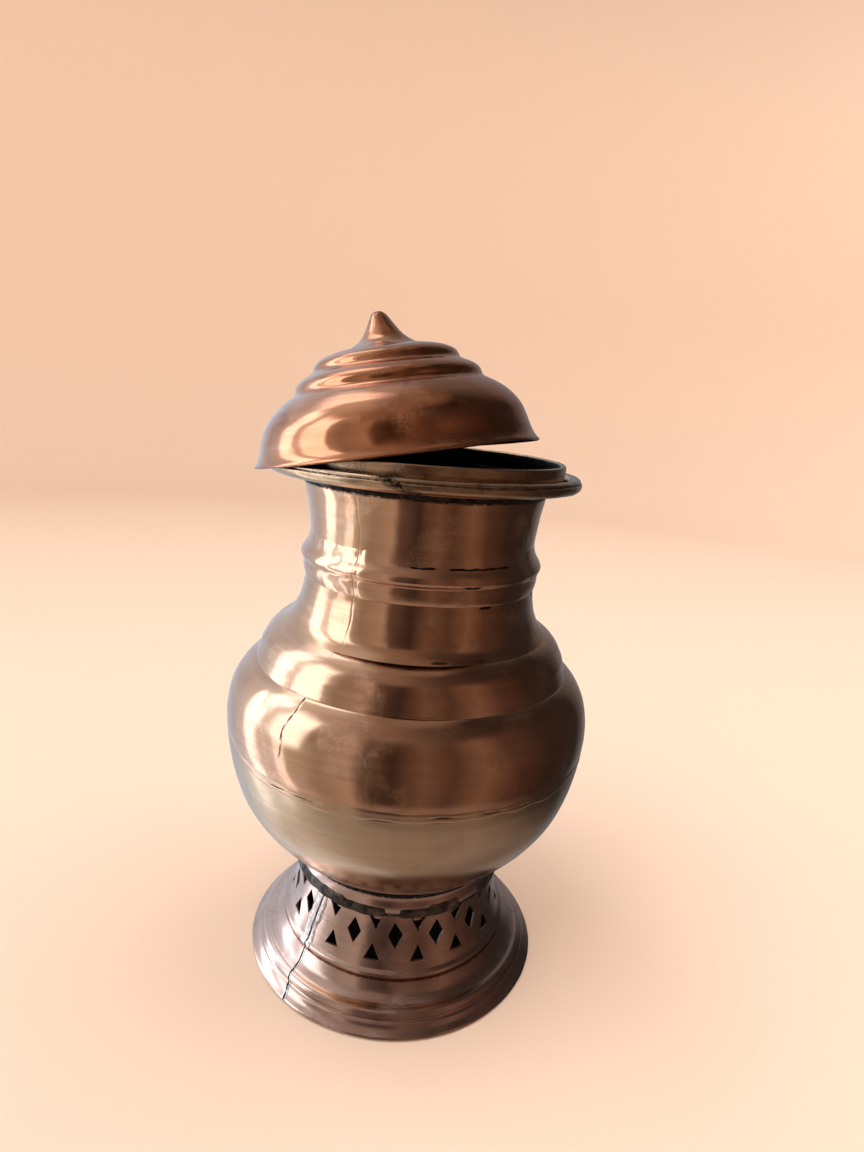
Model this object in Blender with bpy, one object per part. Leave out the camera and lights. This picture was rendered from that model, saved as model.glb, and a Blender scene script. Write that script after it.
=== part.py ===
"""Lidded copper and brass urn on a pierced foot, as an assembly of sheet-metal pieces.

Units are metres, +Z is up along the vessel's axis, and the origin is the centre of the
foot's resting edge. Every piece is turned about its own axis from a short outline. The
lid is a loose cap: it sits askew on the mouth, on an empty that holds its tilt.
"""
import math

import bmesh
import bpy
from mathutils import Matrix, Vector

MM = 0.001
GAP = 0.3 * MM                    # clearance between neighbouring pieces
SHEET = 1.2 * MM                  # thickness of the raised body sheet
LID_SHEET = 1.0 * MM              # thickness of the lid's thinner sheet
SEGMENTS = 32                     # facets around each turned piece

# Driving sizes of the vessel: radii and heights above the resting edge.
FOOT_RADIUS = 72.0 * MM
LOWER_STEP = (62.4 * MM, 9.6 * MM)
GALLERY_BOTTOM = (55.3 * MM, 17.6 * MM)
GALLERY_TOP = (49.8 * MM, 46.0 * MM)
SOCKET_RADIUS = 50.1 * MM
BELLY_RADIUS = 84.95 * MM
BELLY_SEAM_HEIGHT = 116.4 * MM
STEP_HEIGHT = 152.3 * MM
SHOULDER_TOP = (57.9 * MM, 169.9 * MM)
BEAD_HEIGHTS = (191.2 * MM, 203.2 * MM)
NECK_TOP = (54.6 * MM, 234.5 * MM)
FLANGE_RADIUS = 69.2 * MM
FLANGE_ROLL = 2.9 * MM
FLANGE_HEIGHT = 237.7 * MM
COLLAR_RADIUS = 61.6 * MM
COLLAR_WALL = 2.6 * MM
COLLAR_TOP = 245.4 * MM

# The pierced gallery: diamonds in one row, triangles above and below between them.
DIAMOND_COUNT = 16
DIAMOND_PITCH = math.radians(21.93)
FIRST_DIAMOND = math.radians(-18.4)
DIAMOND_SIZE = (7.0 * MM, 12.4 * MM)
DIAMOND_HEIGHT = 35.0 * MM
TRIANGLE_SIZE = (7.0 * MM, 7.2 * MM)
LOWER_TRIANGLE_BASE = 24.0 * MM
UPPER_TRIANGLE_BASE = 44.2 * MM
SEAM_AZIMUTH = math.radians(-44.0)

# The lid, in its own frame: +Z along its axis from the middle of its lip.
LID_RADIUS = 63.7 * MM
LID_PLACE = (-13.4 * MM, 2.0 * MM, 245.1 * MM)
LID_TILT_SIDE = math.radians(11.0)
LID_TILT_FRONT = math.radians(1.7)
FINIAL_BASE_RADIUS = 14.2 * MM

FRONT = math.radians(-90.0)       # azimuths are counted from the front, -Y, towards +X


def clear_scene():
    for item in list(bpy.data.objects):
        bpy.data.objects.remove(item, do_unlink=True)


def metal(name, colour, roughness):
    material = bpy.data.materials.new(name)
    material.use_nodes = True
    shader = material.node_tree.nodes["Principled BSDF"]
    shader.inputs["Base Color"].default_value = (*colour, 1.0)
    shader.inputs["Metallic"].default_value = 1.0
    shader.inputs["Roughness"].default_value = roughness
    material.diffuse_color = (*colour, 1.0)
    return material


def in_metres(points):
    return [(radius * MM, height * MM) for radius, height in points]


def offset(outline, distance):
    """Move an open outline towards the axis side by a distance, with mitred corners."""
    moved = []
    for index, point in enumerate(outline):
        here = Vector(point)
        before = Vector(outline[max(index - 1, 0)])
        after = Vector(outline[min(index + 1, len(outline) - 1)])
        into = (here - before) if index > 0 else (after - here)
        out = (after - here) if index < len(outline) - 1 else (here - before)
        into.normalize()
        out.normalize()
        normal_in = Vector((-into.y, into.x))
        normal_out = Vector((-out.y, out.x))
        mitre = (normal_in + normal_out).normalized()
        length = distance / max(mitre.dot(normal_in), 0.5)
        moved.append((max(here.x + mitre.x * length, 0.0), here.y + mitre.y * length))
    return moved


def sheet(outline, thickness):
    """Closed section of a sheet whose outer face runs bottom to top along the outline."""
    return list(outline) + offset(outline, thickness)[::-1]


def arc(centre, radius, start, end, steps):
    points = []
    for step in range(steps + 1):
        angle = math.radians(start + (end - start) * step / steps)
        points.append((centre[0] + radius * math.cos(angle), centre[1] + radius * math.sin(angle)))
    return points


def turned(name, section, material, parent=None):
    """Spin a closed section about +Z; a section may start and end on the axis."""
    builder = bmesh.new()
    corners = [builder.verts.new((radius, 0.0, height)) for radius, height in section]
    edges = []
    for index, corner in enumerate(corners):
        follower = corners[(index + 1) % len(corners)]
        if corner.co.x > 0.0 or follower.co.x > 0.0:
            edges.append(builder.edges.new((corner, follower)))
    bmesh.ops.spin(builder, geom=corners + edges, cent=(0, 0, 0), axis=(0, 0, 1),
                   angle=math.tau, steps=SEGMENTS, use_merge=True)
    bmesh.ops.remove_doubles(builder, verts=builder.verts, dist=1e-6)
    loose = [vert for vert in builder.verts if not vert.link_faces]
    bmesh.ops.delete(builder, geom=loose, context='VERTS')
    bmesh.ops.recalc_face_normals(builder, faces=builder.faces)
    return placed(name, builder, material, parent)


def placed(name, builder, material, parent=None):
    mesh = bpy.data.meshes.new(name)
    builder.to_mesh(mesh)
    builder.free()
    mesh.materials.append(material)
    mesh.shade_smooth()
    mesh.set_sharp_from_angle(angle=math.radians(40.0))
    item = bpy.data.objects.new(name, mesh)
    bpy.context.scene.collection.objects.link(item)
    item.parent = parent
    return item


def gallery_outline():
    """Outer face of the pierced band: a tall cove between its two rims."""
    (low_r, low_z), (top_r, top_z) = GALLERY_BOTTOM, GALLERY_TOP
    points = []
    for share in (0.0, 0.07, 0.3, 0.62, 1.0):
        radius = top_r + (low_r - top_r) * (1.0 - share) ** 2.2
        points.append((radius, low_z + (top_z - low_z) * share))
    return points


def gallery_cutters():
    """Prisms through the band: diamonds, and triangles that point away from each row."""
    builder = bmesh.new()

    def prism(azimuth, height, corners):
        rim = []
        for radius in (GALLERY_TOP[0] - 6.0 * MM, GALLERY_BOTTOM[0] + 4.0 * MM):
            turn = Matrix.Rotation(FRONT + azimuth, 4, 'Z')
            ring = [turn @ Vector((radius, along, height + up)) for along, up in corners]
            rim.append([builder.verts.new(point) for point in ring])
        builder.faces.new(rim[0])
        builder.faces.new(rim[1])
        for index in range(len(corners)):
            after = (index + 1) % len(corners)
            builder.faces.new((rim[0][index], rim[0][after], rim[1][after], rim[1][index]))

    half_width, half_height = DIAMOND_SIZE[0] / 2, DIAMOND_SIZE[1] / 2
    diamond = [(0, -half_height), (half_width, 0), (0, half_height), (-half_width, 0)]
    half_base, reach = TRIANGLE_SIZE[0] / 2, TRIANGLE_SIZE[1]
    pointing_up = [(-half_base, 0), (half_base, 0), (0, reach)]
    pointing_down = [(-half_base, 0), (half_base, 0), (0, -reach)]
    for index in range(DIAMOND_COUNT):
        azimuth = FIRST_DIAMOND + DIAMOND_PITCH * index
        prism(azimuth, DIAMOND_HEIGHT, diamond)
        prism(azimuth - DIAMOND_PITCH / 2, LOWER_TRIANGLE_BASE, pointing_up)
        prism(azimuth - DIAMOND_PITCH / 2, UPPER_TRIANGLE_BASE, pointing_down)
    bmesh.ops.recalc_face_normals(builder, faces=builder.faces)
    cutter = placed("gallery_cutter", builder, metal("cutter", (0.5, 0.5, 0.5), 0.5))
    cutter.hide_render = True
    cutter.display_type = 'WIRE'
    return cutter


def make_foot(copper, solder):
    """Flared skirt, pierced gallery, the socket ring under the bowl and their solder."""
    skirt = [(FOOT_RADIUS, 0.0), (FOOT_RADIUS, 1.4 * MM)]
    skirt += in_metres([(68.6, 4.0), (64.6, 8.2)])
    skirt.append(LOWER_STEP)
    skirt += in_metres([(59.4, 12.0), (56.2, 15.2)])
    ledge_radius, ledge_height = GALLERY_BOTTOM[0] - 0.9 * MM, GALLERY_BOTTOM[1] - 1.2 * MM
    skirt.append((ledge_radius, ledge_height))
    skirt.append((ledge_radius - 1.6 * MM, ledge_height + 1.8 * MM))
    skirt.append((ledge_radius - 3.2 * MM, ledge_height + 7.6 * MM))
    turned("foot_skirt", sheet(skirt, 1.6 * MM), copper)

    gallery = turned("foot_gallery", sheet(gallery_outline(), SHEET), copper)
    cut = gallery.modifiers.new("piercing", 'BOOLEAN')
    cut.operation = 'DIFFERENCE'
    cut.solver = 'EXACT'
    cut.object = gallery_cutters()

    socket_low = GALLERY_TOP[0] - SHEET - GAP
    step = GALLERY_TOP[1] + GAP
    socket = [(socket_low - 0.1 * MM, step - 5.0 * MM), (socket_low, step), (SOCKET_RADIUS, step),
              (SOCKET_RADIUS, step + 9.6 * MM), (SOCKET_RADIUS - 2.4 * MM, step + 7.6 * MM),
              (socket_low - SHEET, step - 5.0 * MM)]
    turned("bowl_socket_ring", socket, copper)

    inner = SOCKET_RADIUS + GAP
    fillet = [(inner, step - 1.4 * MM), (inner + 1.0 * MM, step - 0.8 * MM),
              (inner + 1.5 * MM, step + 1.2 * MM), (inner + 0.9 * MM, step + 3.4 * MM),
              (inner, step + 4.2 * MM)]
    turned("foot_top_solder", fillet, solder)


def make_seam_strap(name, material, stations, width, height, azimuth):
    """A flat run of solder that lies over a lengthwise joint, following the outline."""
    builder = bmesh.new()
    rings = []
    for radius, level, turn in stations:
        ring = []
        for across, out in ((-1, 0), (1, 0), (1, 1), (-1, 1)):
            angle = FRONT + azimuth + turn + across * width / (2 * radius)
            reach = radius + out * height
            ring.append(builder.verts.new((reach * math.cos(angle), reach * math.sin(angle), level)))
        rings.append(ring)
    for low, top in zip(rings, rings[1:]):
        for index in range(4):
            after = (index + 1) % 4
            builder.faces.new((low[index], low[after], top[after], top[index]))
    builder.faces.new(rings[0])
    builder.faces.new(rings[-1])
    bmesh.ops.recalc_face_normals(builder, faces=builder.faces)
    return placed(name, builder, material)


def make_foot_seam(solder):
    """The run of solder over the foot's lengthwise joint, from the edge to the gallery's top."""
    reach = 0.5 * MM + GAP
    skirt_run = in_metres([(72.0, 1.0), (69.0, 4.0), (65.0, 8.3), (62.9, 9.8), (59.9, 12.2), (56.4, 15.6)])
    gallery_run = gallery_outline()[1:]
    gallery_run[-1] = (gallery_run[-1][0] + 0.1 * MM, gallery_run[-1][1] - 2.6 * MM)
    run = skirt_run + [(GALLERY_BOTTOM[0] + 0.1 * MM, GALLERY_BOTTOM[1])] + gallery_run
    drift = [0.10, 0.07, 0.04, 0.02, 0.0, -0.02, -0.02, 0.0, 0.02, 0.06, 0.09]
    stations = [(radius + reach, level, turn) for (radius, level), turn in zip(run, drift)]
    make_seam_strap("foot_seam_solder", solder, stations, 2.6 * MM, 0.6 * MM, SEAM_AZIMUTH)


def make_belly(copper, brass, braze):
    """Lower bowl, upper shell with its turned-in collar, and the braze between them."""
    seam = BELLY_SEAM_HEIGHT
    bowl = in_metres([(0.0, 44.6), (20.0, 45.8), (36.0, 50.2), (46.6, 54.2), (54.6, 59.6),
                      (62.0, 67.0), (71.6, 78.0), (77.9, 88.6), (81.7, 100.0), (83.8, 110.0)])
    bowl.append((84.3 * MM, seam - 1.5 * MM))
    turned("belly_lower_bowl", sheet(bowl, SHEET), brass)

    shell = in_metres([(84.5, 0.0), (84.95, 123.0), (84.5, 131.0), (82.6, 138.6), (79.0, 145.0),
                       (74.4, 149.6), (71.0, 151.3), (69.0, 151.9), (68.2, 157.0)])
    shell[0] = (84.5 * MM, seam + 1.5 * MM)
    shell[1] = (BELLY_RADIUS, shell[1][1])
    turned("belly_upper_shell", sheet(shell, SHEET), copper)

    strip = [(83.3 * MM, seam - 1.2 * MM), (84.4 * MM, seam - 1.2 * MM),
             (84.6 * MM, seam + 1.2 * MM), (83.3 * MM, seam + 1.2 * MM)]
    turned("belly_seam_braze", strip, braze)


def make_neck(copper, bronze, solder):
    """Shoulder cap, two neck sleeves lapped under a moulded bead, and the top solder."""
    shoulder = in_metres([(71.9, 0.0), (70.6, 155.2), (69.7, 158.6), (67.6, 162.8), (63.6, 166.6)])
    shoulder[0] = (71.9 * MM, STEP_HEIGHT)
    shoulder.append((SHOULDER_TOP[0] + 0.6 * MM, SHOULDER_TOP[1] - 0.6 * MM))
    shoulder.append((SHOULDER_TOP[0] - 1.9 * MM, SHOULDER_TOP[1] - 0.6 * MM))
    shoulder.append((SHOULDER_TOP[0] - 4.3 * MM, SHOULDER_TOP[1] + 4.5 * MM))
    turned("shoulder_cap", sheet(shoulder, SHEET), copper)

    bead_low, bead_top = BEAD_HEIGHTS
    lower = [(SHOULDER_TOP[0], SHOULDER_TOP[1] + GAP)]
    lower += in_metres([(55.3, 175.0), (53.4, 182.0), (52.4, 188.4)])
    lower.append((52.3 * MM, bead_low + 5.6 * MM))
    turned("neck_lower_sleeve", sheet(lower, SHEET), bronze)

    lap = bead_low + 6.1 * MM
    bead = [(52.7 * MM, bead_low), (54.4 * MM, bead_low + 1.8 * MM), (54.5 * MM, bead_low + 4.6 * MM),
            (53.6 * MM, bead_low + 6.6 * MM), (54.8 * MM, bead_low + 8.0 * MM),
            (54.5 * MM, bead_top - 2.0 * MM), (51.9 * MM, bead_top), (51.0 * MM, bead_top),
            (51.0 * MM, lap), (52.7 * MM, lap)]
    turned("neck_bead", bead, copper)

    upper = [(50.6 * MM, bead_low - 4.0 * MM), (50.6 * MM, bead_top + 1.0 * MM)]
    upper += in_metres([(51.2, 213.5), (52.6, 223.0), (54.0, 229.6)])
    upper.append(NECK_TOP)
    turned("neck_upper_sleeve", sheet(upper, SHEET), bronze)

    level = NECK_TOP[1]
    fillet = [(54.5 * MM, level - 4.6 * MM), (55.4 * MM, level - 4.2 * MM),
              (57.0 * MM, level - 0.2 * MM), (55.0 * MM, level - 0.2 * MM)]
    turned("neck_top_solder", fillet, solder)


def make_mouth(brass, wire_metal):
    """Flange rolled over a rim wire, and the upstanding collar that the lid drops over."""
    centre = (FLANGE_RADIUS - FLANGE_ROLL, FLANGE_HEIGHT)
    inner_edge = NECK_TOP[0] - SHEET - 0.2 * MM
    wall = 0.9 * MM
    underside = FLANGE_HEIGHT - FLANGE_ROLL
    floor = underside + wall
    outer = arc(centre, FLANGE_ROLL, -90.0, 165.0, 8)
    inner = arc(centre, FLANGE_ROLL - wall, 165.0, -90.0, 8)
    section = [(inner_edge, floor), (inner_edge, underside)] + outer + inner
    turned("mouth_flange", section, brass)
    turned("flange_rim_wire", arc(centre, FLANGE_ROLL - wall - GAP, 0.0, 300.0, 5), wire_metal)

    inside = COLLAR_RADIUS - COLLAR_WALL
    base = floor + GAP
    collar = [(inside - 2.2 * MM, base), (COLLAR_RADIUS + 0.6 * MM, base),
              (COLLAR_RADIUS - 0.2 * MM, base + 1.4 * MM), (COLLAR_RADIUS, COLLAR_TOP - 0.5 * MM),
              (COLLAR_RADIUS - 0.5 * MM, COLLAR_TOP), (inside + 0.4 * MM, COLLAR_TOP),
              (inside, COLLAR_TOP - 0.4 * MM), (inside - 0.6 * MM, base + 2.0 * MM),
              (inside - 2.2 * MM, base + 1.6 * MM)]
    turned("mouth_collar", collar, brass)


def make_lid(copper, solder):
    """Stepped dome, hollow pointed finial, and the solder ring that holds it inside."""
    pose = bpy.data.objects.new("lid_pose", None)
    bpy.context.scene.collection.objects.link(pose)
    pose.rotation_mode = 'QUATERNION'
    tilt = Matrix.Rotation(-LID_TILT_FRONT, 3, 'X') @ Matrix.Rotation(-LID_TILT_SIDE, 3, 'Y')
    pose.rotation_quaternion = tilt.to_quaternion()
    pose.location = LID_PLACE

    dome = in_metres([(0.0, 0.0), (59.9, 6.2), (58.2, 12.0), (54.8, 17.9), (49.5, 23.2),
                      (42.0, 28.3), (40.4, 31.8), (37.9, 34.5), (33.5, 37.0), (31.3, 39.8),
                      (27.8, 42.2), (21.4, 44.1)])
    dome[0] = (LID_RADIUS, 0.0)
    dome.append((10.0 * MM, 46.2 * MM))
    turned("lid_dome", sheet(dome, LID_SHEET), copper, pose)

    finial = in_metres([(14.2, 46.1), (11.6, 48.1), (9.0, 50.0), (6.9, 52.2), (5.6, 54.4),
                        (4.2, 56.9), (2.8, 58.9), (0.0, 59.9)])
    finial[0] = (FINIAL_BASE_RADIUS, finial[0][1])
    hollow = in_metres([(0.0, 56.2), (2.4, 55.4), (5.6, 51.2), (8.6, 48.4), (11.0, 46.9)])
    turned("lid_finial", finial + hollow, copper, pose)

    ring = in_metres([(6.2, 47.2), (6.6, 45.0), (9.6, 44.6), (9.6, 46.6), (7.6, 48.0)])
    turned("lid_finial_solder", ring, solder, pose)


def main():
    clear_scene()
    foot_copper = metal("foot_copper", (0.45, 0.27, 0.20), 0.32)
    belly_copper = metal("belly_copper", (0.47, 0.27, 0.17), 0.28)
    lid_copper = metal("lid_copper", (0.42, 0.20, 0.11), 0.30)
    bronze = metal("neck_bronze", (0.50, 0.31, 0.19), 0.24)
    bowl_brass = metal("bowl_brass", (0.56, 0.42, 0.27), 0.30)
    mouth_brass = metal("mouth_brass", (0.54, 0.40, 0.24), 0.36)
    grey_solder = metal("grey_solder", (0.16, 0.14, 0.14), 0.60)
    yellow_braze = metal("yellow_braze", (0.58, 0.46, 0.26), 0.42)
    iron_wire = metal("iron_wire", (0.22, 0.20, 0.19), 0.55)

    make_foot(foot_copper, grey_solder)
    make_belly(belly_copper, bowl_brass, yellow_braze)
    make_neck(belly_copper, bronze, grey_solder)
    make_mouth(mouth_brass, iron_wire)
    make_lid(lid_copper, grey_solder)

    make_foot_seam(grey_solder)


main()
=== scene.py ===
"""Looks for the lidded copper and brass urn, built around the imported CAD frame.

Every sheet of the urn is turned again here at a fine pitch, with the wobble of hand raising,
rounded edges, ragged solder, opened seams and the hand-cut piercing of its foot. Lengths are
metres in the CAD's frame; azimuths are counted from the front, -Y, towards +X.
"""
import math
import random

import bmesh
import bpy
import numpy as np
from mathutils import Matrix, Vector


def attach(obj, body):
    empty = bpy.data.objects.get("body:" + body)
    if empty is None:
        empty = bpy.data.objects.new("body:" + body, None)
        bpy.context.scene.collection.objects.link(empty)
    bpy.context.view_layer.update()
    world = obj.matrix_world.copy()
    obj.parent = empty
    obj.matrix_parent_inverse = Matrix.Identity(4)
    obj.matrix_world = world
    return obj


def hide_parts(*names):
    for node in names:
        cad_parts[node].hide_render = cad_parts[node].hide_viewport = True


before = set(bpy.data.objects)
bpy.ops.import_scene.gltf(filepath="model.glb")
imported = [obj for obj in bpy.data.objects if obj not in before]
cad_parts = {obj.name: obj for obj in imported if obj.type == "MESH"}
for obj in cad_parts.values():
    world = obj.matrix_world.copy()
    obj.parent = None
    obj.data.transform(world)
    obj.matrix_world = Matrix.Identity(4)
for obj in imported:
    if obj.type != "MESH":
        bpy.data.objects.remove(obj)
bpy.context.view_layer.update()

MM = 0.001
COLUMNS = 320                     # columns round each turned piece
ROW = 1.0 * MM                    # height of a row on the outer faces
SEAM_PITCH = 0.25 * MM            # column pitch beside a lengthwise seam
GAP = 0.3 * MM

# Sizes that the CAD part sets.
SHEET = 1.2 * MM
FOOT_SHEET = 1.6 * MM
LID_SHEET = 1.0 * MM
FOOT_RADIUS = 72.0 * MM
GALLERY_BOTTOM = (55.3 * MM, 17.6 * MM)
GALLERY_TOP = (49.8 * MM, 46.0 * MM)
SOCKET_RADIUS = 50.1 * MM
BELLY_RADIUS = 84.95 * MM
BELLY_SEAM_HEIGHT = 116.4 * MM
STEP_HEIGHT = 152.3 * MM
BEAD_HEIGHTS = (191.2 * MM, 203.2 * MM)
NECK_TOP = (54.6 * MM, 234.5 * MM)
FLANGE_RADIUS = 69.2 * MM
FLANGE_ROLL = 2.9 * MM
FLANGE_HEIGHT = 237.7 * MM
COLLAR_RADIUS = 61.6 * MM
COLLAR_WALL = 2.6 * MM
COLLAR_TOP = 245.4 * MM
LID_PLACE = Vector((-13.4, 2.0, 245.1)) * MM
LID_TILT_SIDE = math.radians(11.0)
LID_TILT_FRONT = math.radians(1.7)

DIAMOND_COUNT = 16
DIAMOND_PITCH = math.radians(21.93)
FIRST_DIAMOND = math.radians(-18.4)
DIAMOND_SIZE = (7.0 * MM, 12.4 * MM)
DIAMOND_HEIGHT = 35.0 * MM
TRIANGLE_SIZE = (7.0 * MM, 7.2 * MM)
LOWER_TRIANGLE_BASE = 24.0 * MM
UPPER_TRIANGLE_BASE = 44.2 * MM

# How unevenly a hand-raised sheet is worked: (wobble, hammer), and planish where it differs.
SKIRT_RAISING = (0.34 * MM, 0.16 * MM)
GALLERY_RAISING = (0.22 * MM, 0.14 * MM)
SOCKET_RAISING = (0.2 * MM, 0.1 * MM)
SHOULDER_RAISING = (0.4 * MM, 0.16 * MM, 0.04 * MM)

# Knocks in the belly's shoulder in mm: (azimuth in radians, radius, height, size, depth).
BELLY_KNOCKS = ((-0.83, 78, 145, 2.4, 0.35), (-0.40, 80, 141, 1.6, 0.25))
LEAST_COLUMN_STEP = 0.0007        # radians; closer columns are dropped
BEAD_LIMIT = 54.9 * MM

FRONT = math.radians(-90.0)
FOOT_SEAM = math.radians(-44.0)
BELLY_CRACK = math.radians(-33.2)
NECK_SEAM = math.radians(-28.2)


# ---------------------------------------------------------------- outlines

def in_metres(points, radius=0.0, height=0.0):
    """Outline points in millimetres, counted from a radius and a height in metres."""
    return [(radius + across * MM, height + up * MM) for across, up in points]


def flow(points, pitch=ROW):
    """A smooth run through its points, as a centripetal Catmull-Rom curve."""
    knots = [np.array(point, dtype=float) for point in points]
    first = 2 * knots[0] - knots[1]
    last = 2 * knots[-1] - knots[-2]
    knots = [first] + knots + [last]
    run = []
    for index in range(1, len(knots) - 2):
        p0, p1, p2, p3 = knots[index - 1:index + 3]
        t1 = np.linalg.norm(p1 - p0) ** 0.5
        t2 = t1 + np.linalg.norm(p2 - p1) ** 0.5
        t3 = t2 + np.linalg.norm(p3 - p2) ** 0.5
        count = max(2, int(np.linalg.norm(p2 - p1) / pitch))
        for step in range(count):
            t = t1 + (t2 - t1) * step / count
            a1 = (t1 - t) / t1 * p0 + t / t1 * p1
            a2 = (t2 - t) / (t2 - t1) * p1 + (t - t1) / (t2 - t1) * p2
            a3 = (t3 - t) / (t3 - t2) * p2 + (t - t2) / (t3 - t2) * p3
            b1 = (t2 - t) / t2 * a1 + t / t2 * a2
            b2 = (t3 - t) / (t3 - t1) * a2 + (t - t1) / (t3 - t1) * a3
            run.append(tuple((t2 - t) / (t2 - t1) * b1 + (t - t1) / (t2 - t1) * b2))
    run.append(tuple(knots[-2]))
    return run


def joined(*runs):
    """Runs end to end, with a corner kept where they meet."""
    points = []
    for run in runs:
        start = 1 if points and np.allclose(points[-1], run[0]) else 0
        points += run[start:]
    return points


def arc(centre, radius, start, end, steps):
    points = []
    for step in range(steps + 1):
        angle = math.radians(start + (end - start) * step / steps)
        points.append((centre[0] + radius * math.cos(angle), centre[1] + radius * math.sin(angle)))
    return points


def offset(run, distance):
    """A run moved towards the axis side by a distance."""
    line = np.array(run)
    along = np.gradient(line, axis=0)
    along /= np.maximum(np.linalg.norm(along, axis=1, keepdims=True), 1e-12)
    moved = line + distance * np.stack([-along[:, 1], along[:, 0]], axis=1)
    moved[:, 0] = np.maximum(moved[:, 0], 0.0)
    return moved


def sheet(run, thickness, cap_steps=4):
    """Closed section of a sheet with rounded edges, and where its inner face starts."""
    outer = np.array(run)
    inner = offset(run, thickness)[::-1]
    section = list(map(tuple, outer))
    section += edge(outer[-2], outer[-1], inner[0], cap_steps)
    inner_start = len(section)
    section += list(map(tuple, inner[::2] if len(inner) > 12 else inner))
    if not np.allclose(section[-1], inner[-1]):
        section.append(tuple(inner[-1]))
    inner_end = len(section)
    section += edge(outer[1], inner[-1], outer[0], cap_steps)
    return section, (inner_start, inner_end)


def edge(behind, start, end, steps):
    """Half-round end of a sheet, from its start face to its end face, without both ends."""
    start, end, behind = np.array(start), np.array(end), np.array(behind)
    middle = (start + end) / 2
    across = (start - end) / 2
    out = np.array([across[1], -across[0]])
    if out @ (middle - behind) < 0:
        out = -out
    points = []
    for step in range(1, steps):
        angle = math.pi * step / steps
        points.append(tuple(middle + across * math.cos(angle) + out * 0.75 * math.sin(angle)))
    return points


# ---------------------------------------------------------------- hand-made irregularity

def ripples(seed, count, turns, heights):
    """Seeded waves over azimuth and height: whole turns, so that they meet at the back."""
    draw = random.Random(seed)
    waves = []
    for _ in range(count):
        turn = draw.randint(*turns)
        rise = draw.uniform(-1, 1) * math.tau / heights
        waves.append((turn, rise, draw.uniform(0, math.tau), draw.uniform(0.5, 1.0)))

    def field(azimuth, height):
        total = 0.0
        for turn, rise, phase, weight in waves:
            total = total + weight * np.cos(turn * azimuth + rise * height + phase)
        return total / (0.55 * count)
    return field


WOBBLE = ripples(11, 9, (2, 7), 60 * MM)
HAMMER = ripples(23, 26, (9, 40), 16 * MM)
PLANISH = ripples(37, 30, (24, 60), 9 * MM)


def raised(azimuth, radius, height, wobble=0.30 * MM, hammer=0.10 * MM, planish=0.03 * MM):
    """Radius of a hand-raised sheet: always at or inside the true turned radius."""
    low = wobble * (WOBBLE(azimuth, height) - 1.4) / 2
    mid = hammer * (HAMMER(azimuth, height) - 1.0) / 2
    fine = planish * PLANISH(azimuth, height) / 2
    return radius + np.minimum(low + mid + fine, 0.0)


# The stages of the vessel are joined a little off centre: (height, sideways shift) in mm.
LEAN = [(0, 0.5), (42, 0.5), (62, 0.1), (150, 0.0), (172, 0.5), (190, 1.0), (216, 1.0), (232, 0.5),
        (239, 0.0)]


def lean(height):
    heights, shifts = zip(*LEAN)
    return np.interp(height, np.array(heights) * MM, np.array(shifts) * MM)


def upright(height):
    return 0.0 * height


def raised_by(*raising):
    """The shape of a piece that is hand-raised and has no other feature."""
    def shape(azimuth, radius, height):
        return raised(azimuth, radius, height, *raising), height
    return shape


# ---------------------------------------------------------------- meshes

def columns_near(*seams):
    """Azimuths of the columns: even, with closer ones beside each seam."""
    angles = list(np.linspace(-math.pi, math.pi, COLUMNS, endpoint=False))
    for azimuth, radius in seams:
        pitch = SEAM_PITCH / radius
        angles += [azimuth + pitch * step for step in range(-12, 13)]
    angles = np.unique(np.round(angles, 6))
    keep = np.concatenate([[True], np.diff(angles) > LEAST_COLUMN_STEP])
    return angles[keep]


def turned(name, section, shape, materials, inner=None, seams=(), marks=None, matrix=None, aside=lean):
    """Turn a closed section about +Z, with each point moved by shape(azimuth, r, z)."""
    points = np.array(section)
    angles = columns_near(*seams)
    rows, columns = len(points), len(angles)
    azimuth, radius = np.meshgrid(angles, points[:, 0])
    height = np.repeat(points[:, 1:2], columns, axis=1)
    moved_radius, moved_height = shape(azimuth, radius, height)
    turn = azimuth + FRONT
    coords = np.stack([moved_radius * np.cos(turn), moved_radius * np.sin(turn), moved_height], axis=2)
    place = np.stack([radius * np.cos(turn), radius * np.sin(turn), height], axis=2)
    coords[:, :, 0] += aside(moved_height)
    if matrix is not None:
        coords = coords @ np.array(matrix.to_3x3()).T + np.array(matrix.translation)
    row = np.arange(rows)
    column = np.arange(columns)
    next_row, next_column = (row + 1) % rows, (column + 1) % columns
    quads = np.stack([row[:, None] * columns + column, row[:, None] * columns + next_column,
                      next_row[:, None] * columns + next_column, next_row[:, None] * columns + column],
                     axis=2).reshape(-1, 4)
    mesh = bpy.data.meshes.new(name)
    mesh.from_pydata(coords.reshape(-1, 3).tolist(), [], quads.tolist())
    for material in materials:
        mesh.materials.append(material)
    if inner is not None:
        face_row = np.repeat(row, columns)
        slot = ((face_row >= inner[0] - 1) & (face_row < inner[1])).astype(np.int32)
        mesh.polygons.foreach_set("material_index", slot)
    if marks is not None:
        # Stored marks: the own dark of cracks, seams and stains, and painted shade along gaps, grooves and
        # under overhangs.
        grime_and_shade = np.clip(marks(azimuth, radius, height), 0.0, 1.0)
        layer = mesh.attributes.new("grime_and_shade", 'FLOAT', 'POINT')
        layer.data.foreach_set("value", grime_and_shade.astype(np.float32).ravel())
    remember_place(mesh, place.reshape(-1, 3))
    return finished(name, mesh)


def grid_faces(rows, columns, closed):
    """Quads over a grid of points; a closed grid also joins its last column to its first."""
    faces = []
    for row in range(rows - 1):
        for column in range(columns if closed else columns - 1):
            after = (column + 1) % columns
            faces.append((row * columns + column, row * columns + after,
                          (row + 1) * columns + after, (row + 1) * columns + column))
    return faces


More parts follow.
